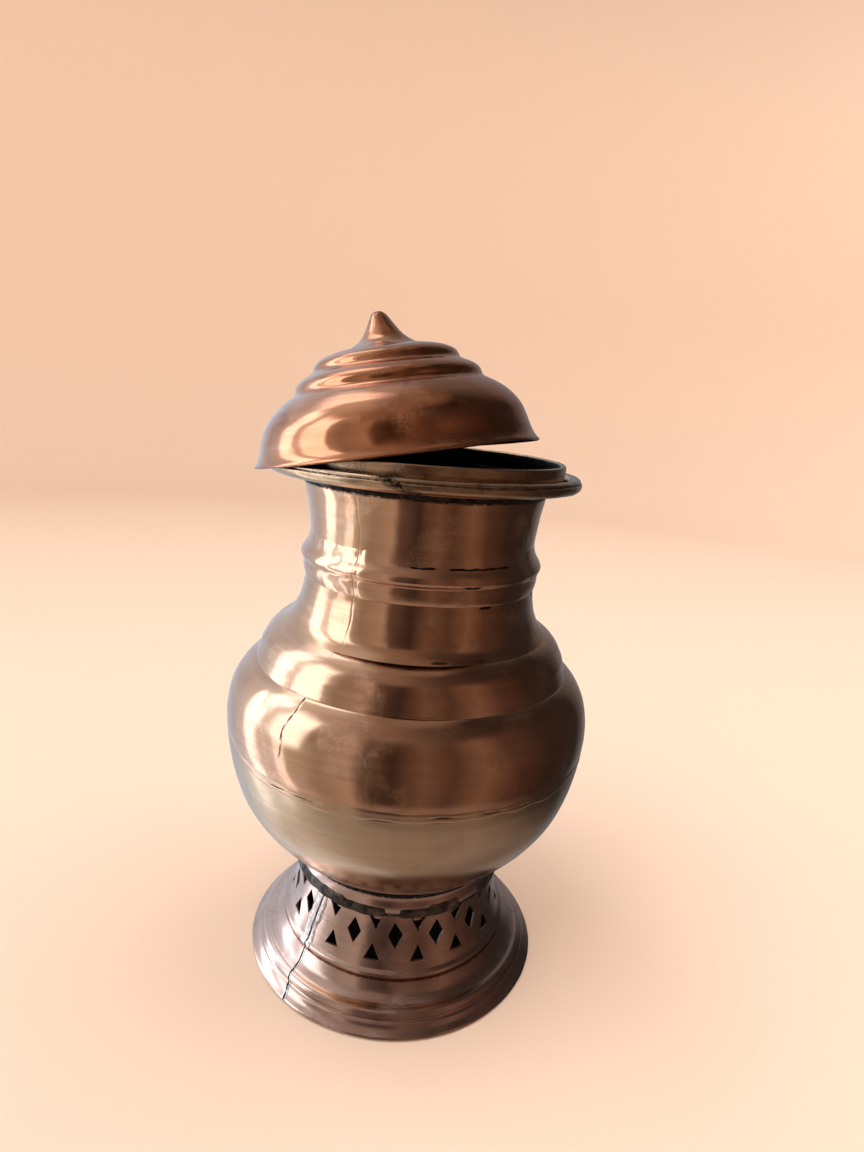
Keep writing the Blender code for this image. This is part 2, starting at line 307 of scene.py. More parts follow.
def remember_place(mesh, place):
    """Keep each point's place on the true turned shape, which the materials are laid out on."""
    layer = mesh.attributes.get("place") or mesh.attributes.new("place", 'FLOAT_VECTOR', 'POINT')
    layer.data.foreach_set("vector", np.asarray(place, dtype=np.float32).ravel())


def own_place(mesh):
    coords = np.empty(len(mesh.vertices) * 3, dtype=np.float32)
    mesh.vertices.foreach_get("co", coords)
    remember_place(mesh, coords)


def finished(name, mesh, sharp=50.0):
    mesh.validate()
    builder = bmesh.new()
    builder.from_mesh(mesh)
    bmesh.ops.remove_doubles(builder, verts=builder.verts, dist=1e-6)
    bmesh.ops.recalc_face_normals(builder, faces=builder.faces)
    builder.to_mesh(mesh)
    builder.free()
    mesh.shade_smooth()
    mesh.set_sharp_from_angle(angle=math.radians(sharp))
    item = bpy.data.objects.new(name, mesh)
    bpy.context.scene.collection.objects.link(item)
    return item


def stands_for(piece, body, slot, *nodes):
    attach(piece, body)
    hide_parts(*nodes)
    return piece


# ---------------------------------------------------------------- materials

def mix_colour(tree, factor, first, second):
    node = tree.nodes.new("ShaderNodeMix")
    node.data_type = 'RGBA'
    tree.links.new(factor, node.inputs["Factor"])
    for socket, value in ((node.inputs[6], first), (node.inputs[7], second)):
        if isinstance(value, tuple):
            socket.default_value = (*value, 1.0)
        else:
            tree.links.new(value, socket)
    return node.outputs[2]


def mapped(tree, value, low, high, to_low=0.0, to_high=1.0):
    node = tree.nodes.new("ShaderNodeMapRange")
    node.inputs["From Min"].default_value = low
    node.inputs["From Max"].default_value = high
    node.inputs["To Min"].default_value = to_low
    node.inputs["To Max"].default_value = to_high
    tree.links.new(value, node.inputs["Value"])
    return node.outputs["Result"]


def noise(tree, vector, scale, detail=4.0, roughness=0.6, distortion=0.0):
    node = tree.nodes.new("ShaderNodeTexNoise")
    node.inputs["Scale"].default_value = scale
    node.inputs["Detail"].default_value = detail
    node.inputs["Roughness"].default_value = roughness
    node.inputs["Distortion"].default_value = distortion
    tree.links.new(vector, node.inputs["Vector"])
    return node.outputs["Fac"]


def stretched(tree, vector, scale):
    node = tree.nodes.new("ShaderNodeMapping")
    node.inputs["Scale"].default_value = scale
    tree.links.new(vector, node.inputs["Vector"])
    return node.outputs["Vector"]


def combined(tree, operation, first, second):
    node = tree.nodes.new("ShaderNodeMath")
    node.operation = operation
    for socket, value in zip(node.inputs, (first, second)):
        if isinstance(value, float):
            socket.default_value = value
        else:
            tree.links.new(value, socket)
    return node.outputs[0]


def attribute(tree, name):
    node = tree.nodes.new("ShaderNodeAttribute")
    node.attribute_name = name
    return node


def new_material(name, metallic=0.0):
    material = bpy.data.materials.new(name)
    material.use_nodes = True
    shader = material.node_tree.nodes["Principled BSDF"]
    shader.inputs["Metallic"].default_value = metallic
    return material, material.node_tree, shader


def emboss(tree, shader, relief, strength, distance):
    bump = tree.nodes.new("ShaderNodeBump")
    bump.inputs["Strength"].default_value = strength
    bump.inputs["Distance"].default_value = distance
    tree.links.new(relief, bump.inputs["Height"])
    tree.links.new(bump.outputs["Normal"], shader.inputs["Normal"])


def aged_metal(name, tones, tarnish, roughness, lines=0.35, dents=0.5, tarnish_share=0.35,
               tarnish_scale=38.0, grime_and_shade_colour=(0.03, 0.02, 0.017)):
    """Hand-polished copper alloy: three tones, tarnish, lathe lines, scratches, soft dents."""
    material, tree, shader = new_material(name, 1.0)
    place = attribute(tree, "place").outputs["Vector"]

    clouds = noise(tree, place, 22.0, 5.0, 0.62, 0.4)
    streaks = noise(tree, stretched(tree, place, (14.0, 14.0, 260.0)), 1.0, 6.0, 0.6)
    tone = mix_colour(tree, mapped(tree, clouds, 0.36, 0.64), tones[0], tones[1])
    tone = mix_colour(tree, mapped(tree, streaks, 0.42, 0.78), tone, tones[2])
    spots = noise(tree, place, tarnish_scale, 7.0, 0.68, 0.8)
    spot_mask = mapped(tree, spots, 0.70 - 0.36 * tarnish_share, 0.86 - 0.30 * tarnish_share)
    fine = noise(tree, place, 420.0, 3.0, 0.6)
    spot_mask = combined(tree, 'MULTIPLY', spot_mask, mapped(tree, fine, 0.30, 0.62, 0.35, 1.0))
    tone = mix_colour(tree, spot_mask, tone, tarnish)
    # The marks stored on each piece darken the colour here: the own dark of cracks, open seams and stains,
    # and painted shade in gaps, grooves, creases and under overhangs.
    mark = attribute(tree, "grime_and_shade").outputs["Fac"]
    ragged = noise(tree, place, 520.0, 4.0, 0.7)
    grime_and_shade = combined(tree, 'MULTIPLY', mark, mapped(tree, ragged, 0.30, 0.52, 0.25, 1.25))
    grime_and_shade = mapped(tree, grime_and_shade, 0.12, 0.62)
    tone = mix_colour(tree, grime_and_shade, tone, grime_and_shade_colour)
    tree.links.new(tone, shader.inputs["Base Color"])

    smears = noise(tree, stretched(tree, place, (60.0, 60.0, 18.0)), 1.0, 4.0, 0.6)
    gloss = mapped(tree, smears, 0.3, 0.75, roughness - 0.03, roughness + 0.07)
    gloss = combined(tree, 'ADD', gloss, combined(tree, 'MULTIPLY', spot_mask, 0.16))
    gloss = combined(tree, 'ADD', gloss, combined(tree, 'MULTIPLY', grime_and_shade, 0.35))
    tree.links.new(gloss, shader.inputs["Roughness"])

    turning = noise(tree, stretched(tree, place, (8.0, 8.0, 700.0)), 1.0, 5.0, 0.55)
    scratch = scratches(tree, place)
    hammer = noise(tree, place, 90.0, 2.0, 0.5)
    grain = noise(tree, place, 1500.0, 3.0, 0.6)
    relief = combined(tree, 'MULTIPLY', turning, lines)
    relief = combined(tree, 'ADD', relief, combined(tree, 'MULTIPLY', hammer, dents * 3.0))
    relief = combined(tree, 'ADD', relief, combined(tree, 'MULTIPLY', grain, 0.12 * lines))
    relief = combined(tree, 'SUBTRACT', relief, combined(tree, 'MULTIPLY', scratch, 0.7))
    relief = combined(tree, 'SUBTRACT', relief, combined(tree, 'MULTIPLY', grime_and_shade, 0.9))
    emboss(tree, shader, relief, 0.5, 0.00010)
    return material


def scratches(tree, place):
    """Thin random scratches: the edges of long, stretched cells in two directions."""
    masks = []
    for scale in ((70.0, 60.0, 420.0), (260.0, 240.0, 60.0)):
        cells = tree.nodes.new("ShaderNodeTexVoronoi")
        cells.feature = 'DISTANCE_TO_EDGE'
        cells.inputs["Randomness"].default_value = 1.0
        tree.links.new(stretched(tree, place, scale), cells.inputs["Vector"])
        thin = mapped(tree, cells.outputs["Distance"], 0.0, 0.012, 1.0, 0.0)
        patch = mapped(tree, noise(tree, place, 46.0, 2.0, 0.5), 0.52, 0.68)
        masks.append(combined(tree, 'MULTIPLY', thin, patch))
    return combined(tree, 'MAXIMUM', masks[0], masks[1])


def dull_solder(name, dark, light, roughness=0.5):
    material, tree, shader = new_material(name, 0.85)
    place = tree.nodes.new("ShaderNodeTexCoord").outputs["Object"]
    blotch = noise(tree, place, 160.0, 6.0, 0.65, 0.5)
    tone = mix_colour(tree, mapped(tree, blotch, 0.40, 0.66), dark, light)
    tree.links.new(tone, shader.inputs["Base Color"])
    tree.links.new(mapped(tree, blotch, 0.3, 0.7, roughness + 0.15, roughness - 0.12),
                   shader.inputs["Roughness"])
    relief = combined(tree, 'ADD', blotch, combined(tree, 'MULTIPLY', noise(tree, place, 900.0), 0.4))
    emboss(tree, shader, relief, 0.7, 0.0003)
    return material


def make_materials():
    tarnish = (0.055, 0.030, 0.022)
    return {
        "foot": aged_metal("foot_copper", [(0.68, 0.45, 0.36), (0.60, 0.38, 0.30), (0.74, 0.53, 0.42)],
                           (0.34, 0.20, 0.155), 0.16, lines=0.45),
        "edge": aged_metal("filed_edge", [(0.62, 0.44, 0.34), (0.45, 0.31, 0.24), (0.72, 0.54, 0.42)],
                           (0.12, 0.07, 0.05), 0.30, lines=0.3),
        "belly": aged_metal("belly_copper", [(0.72, 0.41, 0.25), (0.65, 0.35, 0.21), (0.78, 0.48, 0.31)],
                            (0.36, 0.19, 0.115), 0.10, lines=0.15),
        "bowl": aged_metal("bowl_brass", [(0.69, 0.48, 0.31), (0.63, 0.43, 0.27), (0.74, 0.54, 0.36)],
                           (0.42, 0.27, 0.17), 0.22, lines=0.4, tarnish_share=0.25),
        "neck": aged_metal("neck_bronze", [(0.71, 0.40, 0.235), (0.65, 0.35, 0.20), (0.76, 0.47, 0.30)],
                           (0.38, 0.20, 0.115), 0.08, lines=0.12, tarnish_share=0.25),
        "mouth": aged_metal("mouth_brass", [(0.60, 0.38, 0.225), (0.48, 0.285, 0.16), (0.70, 0.49, 0.32)],
                            tarnish, 0.22, lines=0.6, tarnish_share=0.5, tarnish_scale=60.0),
        "lid": aged_metal("lid_copper", [(0.63, 0.26, 0.13), (0.55, 0.21, 0.10), (0.70, 0.34, 0.19)],
                          (0.30, 0.115, 0.06), 0.065, lines=0.2, tarnish_share=0.4),
        "tin": aged_metal("seam_solder", [(0.78, 0.64, 0.56), (0.60, 0.46, 0.39), (0.88, 0.77, 0.69)],
                          (0.24, 0.17, 0.15), 0.18, lines=0.1, dents=1.2, tarnish_share=0.6,
                          tarnish_scale=160.0),
        "braze": aged_metal("yellow_braze", [(0.70, 0.46, 0.29), (0.65, 0.41, 0.26), (0.75, 0.52, 0.34)],
                            (0.44, 0.28, 0.16), 0.20, lines=0.2, tarnish_share=0.4, tarnish_scale=120.0),
        # Painted shade: the inside faces of the hollow pieces are near black, standing in for the shade
        # inside the vessel and its foot.
        "inside": aged_metal("painted_shade_inside", [(0.034, 0.024, 0.019), (0.022, 0.016, 0.013),
                                              (0.050, 0.034, 0.026)], (0.012, 0.009, 0.008), 0.52),
        "solder": dull_solder("grey_solder", (0.034, 0.028, 0.025), (0.17, 0.135, 0.115)),
        "scale": dull_solder("black_scale", (0.012, 0.009, 0.008), (0.075, 0.045, 0.030), 0.6),
        "wire": dull_solder("iron_wire", (0.10, 0.09, 0.085), (0.25, 0.22, 0.20), 0.5),
    }


# ---------------------------------------------------------------- pieces of the vessel

def near_line(azimuth, height, centre, width, ragged, seed):
    """1 on a level line and 0 beyond its ragged width."""
    waves = ripples(seed, 22, (5, 60), 400 * MM)
    shift = ragged * waves(azimuth, height)
    return np.clip(1.4 - np.abs(height - centre - shift) / width, 0.0, 1.0)


def patches(azimuth, seed, share):
    """Stretches of azimuth that are open, as a soft 0 to 1 mask."""
    waves = ripples(seed, 16, (3, 26), 400 * MM)
    return np.clip((waves(azimuth, 0.0 * azimuth) - (1.0 - 2.0 * share)) * 3.0, 0.0, 1.0)


def spans(azimuth, seed, *ranges):
    """Soft mask over stretches of azimuth in degrees, with uneven ends."""
    uneven = math.radians(1.2) * ripples(seed, 12, (9, 60), 400 * MM)(azimuth, 0.0 * azimuth)
    mask = np.zeros_like(azimuth)
    for start, end in ranges:
        middle, half = math.radians(start + end) / 2, math.radians(end - start) / 2
        inside = (half - np.abs(azimuth - middle) + uneven) / math.radians(2.0)
        mask = np.maximum(mask, np.clip(inside, 0.0, 1.0))
    return mask


def gallery_run():
    (low_r, low_z), (top_r, top_z) = GALLERY_BOTTOM, GALLERY_TOP
    knots = []
    for share in (0.09, 0.16, 0.3, 0.45, 0.62, 0.8, 1.0):
        knots.append((top_r + (low_r - top_r) * (1.0 - share) ** 2.2, low_z + (top_z - low_z) * share))
    rim = in_metres([(-0.1, -1.7), (0.55, -0.7), (0.85, 0.4), (0.6, 1.3), (-0.2, 1.95)], low_r, low_z)
    return joined(flow(rim + knots[:1], 0.25 * MM), flow(knots))


def gallery_radius(height):
    run = np.array(gallery_run())
    order = np.argsort(run[:, 1])
    return float(np.interp(height, run[order, 1], run[order, 0]))


def skirt_run():
    """Outer face of the foot's skirt as five runs: rolled edge, band, ridge, cone, tucked ledge."""
    runs = [flow(in_metres([(-0.6, 0.3), (0.0, 0.9), (-0.2, 1.6), (-0.9, 2.1)], FOOT_RADIUS), 0.3 * MM)]
    band = [(69.6, 3.1), (68.6, 4.1), (68.15, 4.9)]
    ridge = [(67.3, 5.3), (66.75, 5.9), (66.7, 6.9), (66.3, 7.9), (65.5, 8.8), (64.5, 9.25), (63.4, 9.5),
             (62.4, 9.9)]
    cone = [(61.0, 10.7), (59.4, 11.8), (57.4, 14.2), (56.2, 16.0)]
    tuck = [(54.6, 16.1), (53.2, 17.6), (52.2, 20.6)]
    for points, pitch in ((band, 0.6), (ridge, 0.25), (cone, 0.8), (tuck, 0.8)):
        runs.append(flow([runs[-1][-1]] + in_metres(points), pitch * MM))
    return runs


def make_foot_skirt(metals):
    section, inner = sheet(joined(*skirt_run()), FOOT_SHEET)
    section = [(radius, max(height, 0.0)) for radius, height in section]

    def marks(azimuth, radius, height):
        # Painted shade along the ledge under the gallery's rim and, in patches, under the ridge; darker along
        # the bottom edge.
        ledge = 0.25 * near_line(azimuth, height, 16.1 * MM, 0.35 * MM, 0.12 * MM, 71)
        rim = 0.35 * np.clip(1.0 - height / (0.8 * MM), 0, 1)
        under = 0.35 * near_line(azimuth, height, 5.6 * MM, 0.25 * MM, 0.1 * MM, 72)
        return np.maximum.reduce([ledge, rim, under * patches(azimuth, 73, 0.4)])

    return turned("foot_skirt_raised", section, raised_by(*SKIRT_RAISING),
                  [metals["foot"], metals["inside"]], inner, (), marks)


def foot_seam_drift(height):
    """Azimuth of the foot's seam: it wanders left at the edge and right near the top."""
    level = np.clip(np.asarray(height) / (46 * MM), 0.0, 1.0)
    return FOOT_SEAM + 0.10 * (1 - level) ** 3 - 0.05 * np.sin(math.pi * level) + 0.09 * level ** 2


def seam_profile(azimuth, seam, radius, width):
    across = (azimuth - seam) * radius
    return np.exp(-(across / (0.5 * width)) ** 2)


def make_gallery(metals):
    section, inner = sheet(gallery_run(), 0.75 * SHEET)
    piece = turned("foot_gallery_pierced", section, raised_by(*GALLERY_RAISING),
                   [metals["foot"], metals["inside"]], inner)
    cutter = piercing_tool(metals["edge"])
    cut = piece.modifiers.new("piercing", 'BOOLEAN')
    cut.operation = 'DIFFERENCE'
    cut.solver = 'EXACT'
    cut.material_mode = 'TRANSFER'
    cut.object = cutter
    graph = bpy.context.evaluated_depsgraph_get()
    mesh = bpy.data.meshes.new_from_object(piece.evaluated_get(graph))
    piece.modifiers.clear()
    piece.data = mesh
    own_place(mesh)
    mesh.shade_smooth()
    mesh.set_sharp_from_angle(angle=math.radians(32.0))
    bpy.data.objects.remove(cutter, do_unlink=True)
    return piece


def piercing_tool(material):
    """Hand-cut piercing: uneven diamonds and triangles, each opened a little at the face."""
    draw = random.Random(404)
    builder = bmesh.new()
    chamfer = 0.25 * MM

    def hole(azimuth, height, corners):
        corners = [(along + draw.uniform(-0.35, 0.35) * MM, up + draw.uniform(-0.45, 0.45) * MM)
                   for along, up in corners]
        tilt = draw.uniform(-0.06, 0.06)
        corners = [(x * math.cos(tilt) - y * math.sin(tilt), x * math.sin(tilt) + y * math.cos(tilt))
                   for x, y in corners]
        middle = (sum(x for x, _ in corners) / len(corners), sum(y for _, y in corners) / len(corners))
        azimuth += draw.uniform(-0.012, 0.012)
        height += draw.uniform(-0.3, 0.3) * MM
        rings = []
        for depth, grow in ((-5.0 * MM, 0.0), (-chamfer, 0.0), (0.25 * MM, 0.3 * MM), (3.0 * MM, 0.3 * MM)):
            ring = []
            for x, y in corners:
                out = Vector((x - middle[0], y - middle[1])).normalized() * grow
                level = height + y + out.y
                radius = gallery_radius(level) - 0.25 * MM + depth
                turn = Matrix.Rotation(FRONT + azimuth, 4, 'Z')
                aside = Vector((float(lean(level)), 0, 0))
                ring.append(builder.verts.new(turn @ Vector((radius, x + out.x, level)) + aside))
            rings.append(ring)
        builder.faces.new(rings[0])
        builder.faces.new(rings[-1])
        for low, top in zip(rings, rings[1:]):
            for index in range(len(corners)):
                after = (index + 1) % len(corners)
                builder.faces.new((low[index], low[after], top[after], top[index]))

    half_width, half_height = DIAMOND_SIZE[0] / 2, DIAMOND_SIZE[1] / 2
    diamond = [(0, -half_height), (half_width, 0), (0, half_height), (-half_width, 0)]
    half_base, reach = TRIANGLE_SIZE[0] / 2, TRIANGLE_SIZE[1]
    pointing_up = [(-half_base, 0), (half_base, 0), (0, reach)]
    pointing_down = [(-half_base, 0), (half_base, 0), (0, -reach)]
    for index in range(DIAMOND_COUNT):
        azimuth = FIRST_DIAMOND + DIAMOND_PITCH * index
        hole(azimuth, DIAMOND_HEIGHT, diamond)
        hole(azimuth - DIAMOND_PITCH / 2, LOWER_TRIANGLE_BASE, pointing_up)
        hole(azimuth - DIAMOND_PITCH / 2, UPPER_TRIANGLE_BASE, pointing_down)
    bmesh.ops.triangulate(builder, faces=builder.faces)
    bmesh.ops.recalc_face_normals(builder, faces=builder.faces)
    mesh = bpy.data.meshes.new("piercing_tool")
    builder.to_mesh(mesh)
    builder.free()
    mesh.materials.append(material)
    tool = bpy.data.objects.new("piercing_tool", mesh)
    bpy.context.scene.collection.objects.link(tool)
    tool.hide_render = True
    return tool


def make_foot_seam(metals):
    """The foot's lengthwise joint: lumpy solder on the gallery, and a torn line down the skirt."""
    stations, across_count = 170, 26
    path = [(*point, 0.0) for run in skirt_run()[:4] for point in run[1:] if point[1] > 1.2 * MM]
    path += [(*point, 1.0) for point in gallery_run() if 17.0 * MM < point[1] < 44.8 * MM]
    radius, level, part = np.array(path).T
    share = np.linspace(0, len(path) - 1, stations)
    radius, level, part = (np.interp(share, np.arange(len(path)), line) for line in (radius, level, part))
    lumps = ripples(61, 26, (1, 1), 5.5 * MM)
    fine = ripples(62, 26, (1, 1), 1.6 * MM)
    verts, grime_and_shade = [], []
    for index in range(stations):
        high = part[index]
        rise = level[index]
        half = (1.5 + 2.7 * high) * MM
        left = half * (1.0 + 0.30 * float(lumps(0.0, rise)) + 0.12 * float(fine(1.0, rise)))
        right = half * (1.0 + 0.30 * float(lumps(3.0, rise)) + 0.12 * float(fine(4.0, rise)))
        seam = float(foot_seam_drift(rise))
        crack = 0.30 * MM * float(lumps(2.0, rise * 1.3)) + 0.16 * MM * float(fine(0.0, rise))
        crack += 0.7 * MM * high
        gape = (0.42 + 0.14 * float(lumps(5.0, rise * 2.0))) * MM
        for step in range(across_count + 1):
            side = (2.0 * step / across_count - 1.0)
            across = side * (right if side > 0 else left)
            lump = float(lumps(side * 2.2 + 1.0, rise)) + 0.7 * float(fine(side * 4.0, rise))
            height = (0.16 + 0.20 * high + (0.08 + 0.12 * high) * lump) * MM * (1.0 - side ** 4)
            height = min(height, 0.70 * MM) - 0.30 * MM * side ** 6
            split = math.exp(-((across - crack) / gape) ** 2)
            height -= (0.10 + 0.30 * high) * MM * split
            azimuth = seam + across / radius[index]
            skirt = raised(azimuth, radius[index], rise, *SKIRT_RAISING)
            gallery = raised(azimuth, radius[index], rise, *GALLERY_RAISING)
            out = float(skirt + (gallery - skirt) * high) + height
            turn = FRONT + azimuth
            verts.append((out * math.cos(turn) + float(lean(rise)), out * math.sin(turn), rise))
            grime_and_shade.append(1.15 * split * (0.75 + 0.35 * float(fine(3.0, rise * 0.4))))
    mesh = bpy.data.meshes.new("foot_seam_run")
    mesh.from_pydata(verts, [], grid_faces(stations, across_count + 1, False))
    layer = mesh.attributes.new("grime_and_shade", 'FLOAT', 'POINT')
    layer.data.foreach_set("value", np.clip(grime_and_shade, 0, 1).astype(np.float32))
    own_place(mesh)
    mesh.materials.append(metals["tin"])
    item = finished("foot_seam_run", mesh)
    backing = item.modifiers.new("backing", 'SOLIDIFY')
    backing.thickness = 0.5 * MM
    backing.offset = -1.0
    return item


def make_socket_and_solder(metals):
    step = GALLERY_TOP[1] + GAP
    low = GALLERY_TOP[0] - SHEET - GAP
    wall = in_metres([(-0.2, 0.1), (0.0, 3.0), (-0.2, 6.0), (0.0, 8.6)], SOCKET_RADIUS, step)
    outer = joined(in_metres([(-0.1, -5.0), (0.0, 0.0)], low, step) + wall[:1], flow(wall))
    section = outer + in_metres([(-2.4, 7.4)], SOCKET_RADIUS, step) + [(low - SHEET, step - 4.6 * MM)]

    def marks(azimuth, radius, height):
        # Painted shade: a dark line along the socket's top edge, against the bowl.
        return 0.6 * near_line(azimuth, height, step + 8.6 * MM, 0.5 * MM, 0.3 * MM, 91)

    socket = turned("bowl_socket_turned", section, raised_by(*SOCKET_RAISING), [metals["foot"]], marks=marks)

    inner = SOCKET_RADIUS - 0.4 * MM
    lumps = ripples(77, 30, (6, 60), 30 * MM)
    drips = ripples(78, 24, (4, 40), 500 * MM)
    face = in_metres([(0.0, -2.4), (0.9, -1.4), (1.2, 0.6), (0.9, 2.6), (0.0, 4.0)], inner, step)
    fillet = flow(face, 0.4 * MM) + in_metres([(-0.3, 1.0)], inner, step)

    def solder_shape(azimuth, radius, height):
        """Chunks of solder: thick on the left, broken in front, thin again on the right."""
        reach = np.clip((radius - inner) / (1.2 * MM), 0, 1)
        below = np.clip((step + 1.0 * MM - height) / (3.4 * MM), 0, 1)
        above = np.clip((height - step - 1.0 * MM) / (3.2 * MM), 0, 1)
        thick = spans(azimuth, 79, (-180, -128), (-100, -2), (5, 38), (52, 92), (120, 180))
        moved = radius + reach * (0.40 * MM * lumps(azimuth, height) - 1.3 * MM * (1 - thick))
        level = height - below * (1.1 * MM * drips(azimuth, height * 0) - 1.0 * MM * (1 - thick))
        bare = 1 - thick * (1 - spans(azimuth, 80, (-26, 22)))
        return moved, level + above * (1.1 * MM * lumps(azimuth + 1, 0 * height) - 1.6 * MM * bare)

    solder = turned("foot_top_solder_run", fillet, solder_shape, [metals["solder"]])
    return socket, solder


def make_bowl(metals):
    knots = in_metres([(0.25, 44.6), (12.0, 44.9), (24.0, 46.6), (36.0, 50.0), (46.6, 54.4), (54.6, 59.8),
                       (62.0, 66.8), (71.6, 78.0), (77.9, 88.6), (81.7, 100.0), (83.7, 110.0)])
    knots.append((84.3 * MM, BELLY_SEAM_HEIGHT - 1.3 * MM))
    section, inner = sheet(flow(knots), SHEET)

    def shape(azimuth, radius, height):
        moved = raised(azimuth, radius, height, 0.5 * MM, 0.10 * MM)
        return np.where(radius < 1.0 * MM, radius, moved), height

    return turned("belly_bowl_raised", section, shape, [metals["bowl"], metals["inside"]], inner)


def make_upper_shell(metals):
    seam = BELLY_SEAM_HEIGHT
    outer = joined(flow([(84.45 * MM, seam + 1.2 * MM)] + in_metres([(84.95, 123.0), (84.55, 131.0),
                         (82.7, 138.6), (79.1, 145.0), (75.6, 148.8), (72.6, 151.1)])),
                   flow(in_metres([(72.6, 151.1), (70.6, 151.9), (69.2, 153.4), (68.2, 157.0)]), 0.5 * MM))
    section, inner = sheet(outer, SHEET)
    top, bottom = 151.4 * MM, 128.0 * MM

    def crack(azimuth, radius, height, width):
        level = np.clip((height - bottom) / (top - bottom), 0, 1)
        wander = BELLY_CRACK + 0.012 * np.sin(level * 9.0) - 0.018 * (1 - level)
        present = np.clip((height - bottom) / (7 * MM), 0, 1) * (height < 152 * MM)
        uneven = 0.6 + 0.4 * np.cos(height / (1.9 * MM)) * np.cos(height / (0.7 * MM) + 1.0)
        return seam_profile(azimuth, wander, radius, width) * present * uneven

    def shape(azimuth, radius, height):
        moved = raised(azimuth, radius, height, 0.45 * MM, 0.18 * MM, 0.04 * MM)
        for place, reach, level, size, depth in BELLY_KNOCKS:
            away = ((azimuth - place) * reach * MM) ** 2 + (height - level * MM) ** 2
            moved = moved - depth * MM * np.exp(-away / (size * MM) ** 2)
        return moved - 0.32 * MM * crack(azimuth, radius, height, 0.7 * MM), height

    def marks(azimuth, radius, height):
        # Painted shade: a broken dark line along the step under the shoulder's lip; the crack keeps its own
        # dark.
        step = 0.4 * near_line(azimuth, height, 151.6 * MM, 0.4 * MM, 0.2 * MM, 19)
        step = step * patches(azimuth, 20, 0.4)
        return np.maximum(step, 0.75 * crack(azimuth, radius, height, 0.55 * MM))

    return turned("belly_shell_raised", section, shape, [metals["belly"], metals["inside"]], inner,
                  [(BELLY_CRACK, 80 * MM)], marks)


def make_belly_braze(metals):
    """The braze between bowl and shell, smeared unevenly over both lips."""
    seam = BELLY_SEAM_HEIGHT
    smear_low = ripples(31, 26, (3, 44), 900 * MM)
    smear_top = ripples(32, 26, (3, 44), 900 * MM)
    face = in_metres([(83.75, -2.8), (84.30, -1.7), (84.5, 0.0), (84.6, 1.8), (84.3, 2.9)], height=seam)
    section = flow(face, 0.22 * MM) + in_metres([(83.4, 1.0), (83.4, -1.0)], height=seam)

    def shape(azimuth, radius, height):
        moved = raised(azimuth, radius, height, 0.48 * MM, 0.14 * MM)
        moved = moved + 0.05 * MM * smear_low(azimuth, height)
        below = np.clip((seam - height) / (2.6 * MM), 0, 1)
        above = np.clip((height - seam) / (2.8 * MM), 0, 1)
        level = height - below * 1.5 * MM * smear_low(azimuth, 0 * height)
        level = level + above * 1.3 * MM * smear_top(azimuth, 0 * height)
        open_seam = crack(azimuth, height)
        return np.minimum(moved - 0.3 * MM * open_seam, BELLY_RADIUS), level

    def crack(azimuth, height):
        line = near_line(azimuth, height, seam + 0.3 * MM, 0.27 * MM, 0.8 * MM, 33)
        line = line * np.clip(0.75 + 0.55 * smear_top(azimuth * 2, 0 * height), 0.0, 1.0)
        torn = spans(azimuth, 34, (-38, -30), (-28, -21), (9, 16), (18.5, 20), (23, 31), (36, 38.5), (50, 54),
                     (88, 101), (128, 139), (158, 171), (-170, -158), (-121, -110), (-84, -77))
        return line * torn

    def marks(azimuth, radius, height):
        return crack(azimuth, height)

    return turned("belly_braze_run", section, shape, [metals["braze"]], marks=marks)


def neck_seam_drift(height):
    """Azimuth of the neck's lengthwise seam, which wanders a little as it climbs."""
    return NECK_SEAM + 0.006 * np.sin(height / (6.5 * MM)) + 0.004 * np.sin(height / (1.9 * MM) + 1.0)


def make_shoulder(metals):
    low = STEP_HEIGHT - 0.5 * MM
    lip = in_metres([(72.5, -0.7), (72.1, 0.7)], height=low) + in_metres([(71.3, 154.6), (70.7, 156.6)])
    outer = joined(flow(lip, 0.5 * MM),
                   flow(in_metres([(70.7, 156.6), (70.3, 157.9), (69.4, 159.6), (67.6, 162.7), (65.2, 165.4),
                                   (62.2, 167.7), (59.6, 169.1), (57.4, 169.9), (55.2, 170.5)])))
    section, inner = sheet(outer, SHEET)

    def marks(azimuth, radius, height):
        # Painted shade: a broken dark line along the lip's lower edge, where it steps over the belly; the
        # seam line is the seam's own dark.
        edge_line = 0.25 * near_line(azimuth, height, low, 0.4 * MM, 0.2 * MM, 41) * patches(azimuth, 42, 0.5)
        split = seam_profile(azimuth, neck_seam_drift(height) - 0.03, radius, 0.4 * MM) * (height > 163 * MM)
        return np.maximum(edge_line, 0.3 * split)

    return turned("shoulder_raised", section, raised_by(*SHOULDER_RAISING),
                  [metals["belly"], metals["inside"]], inner, [(NECK_SEAM - 0.03, 62 * MM)], marks)


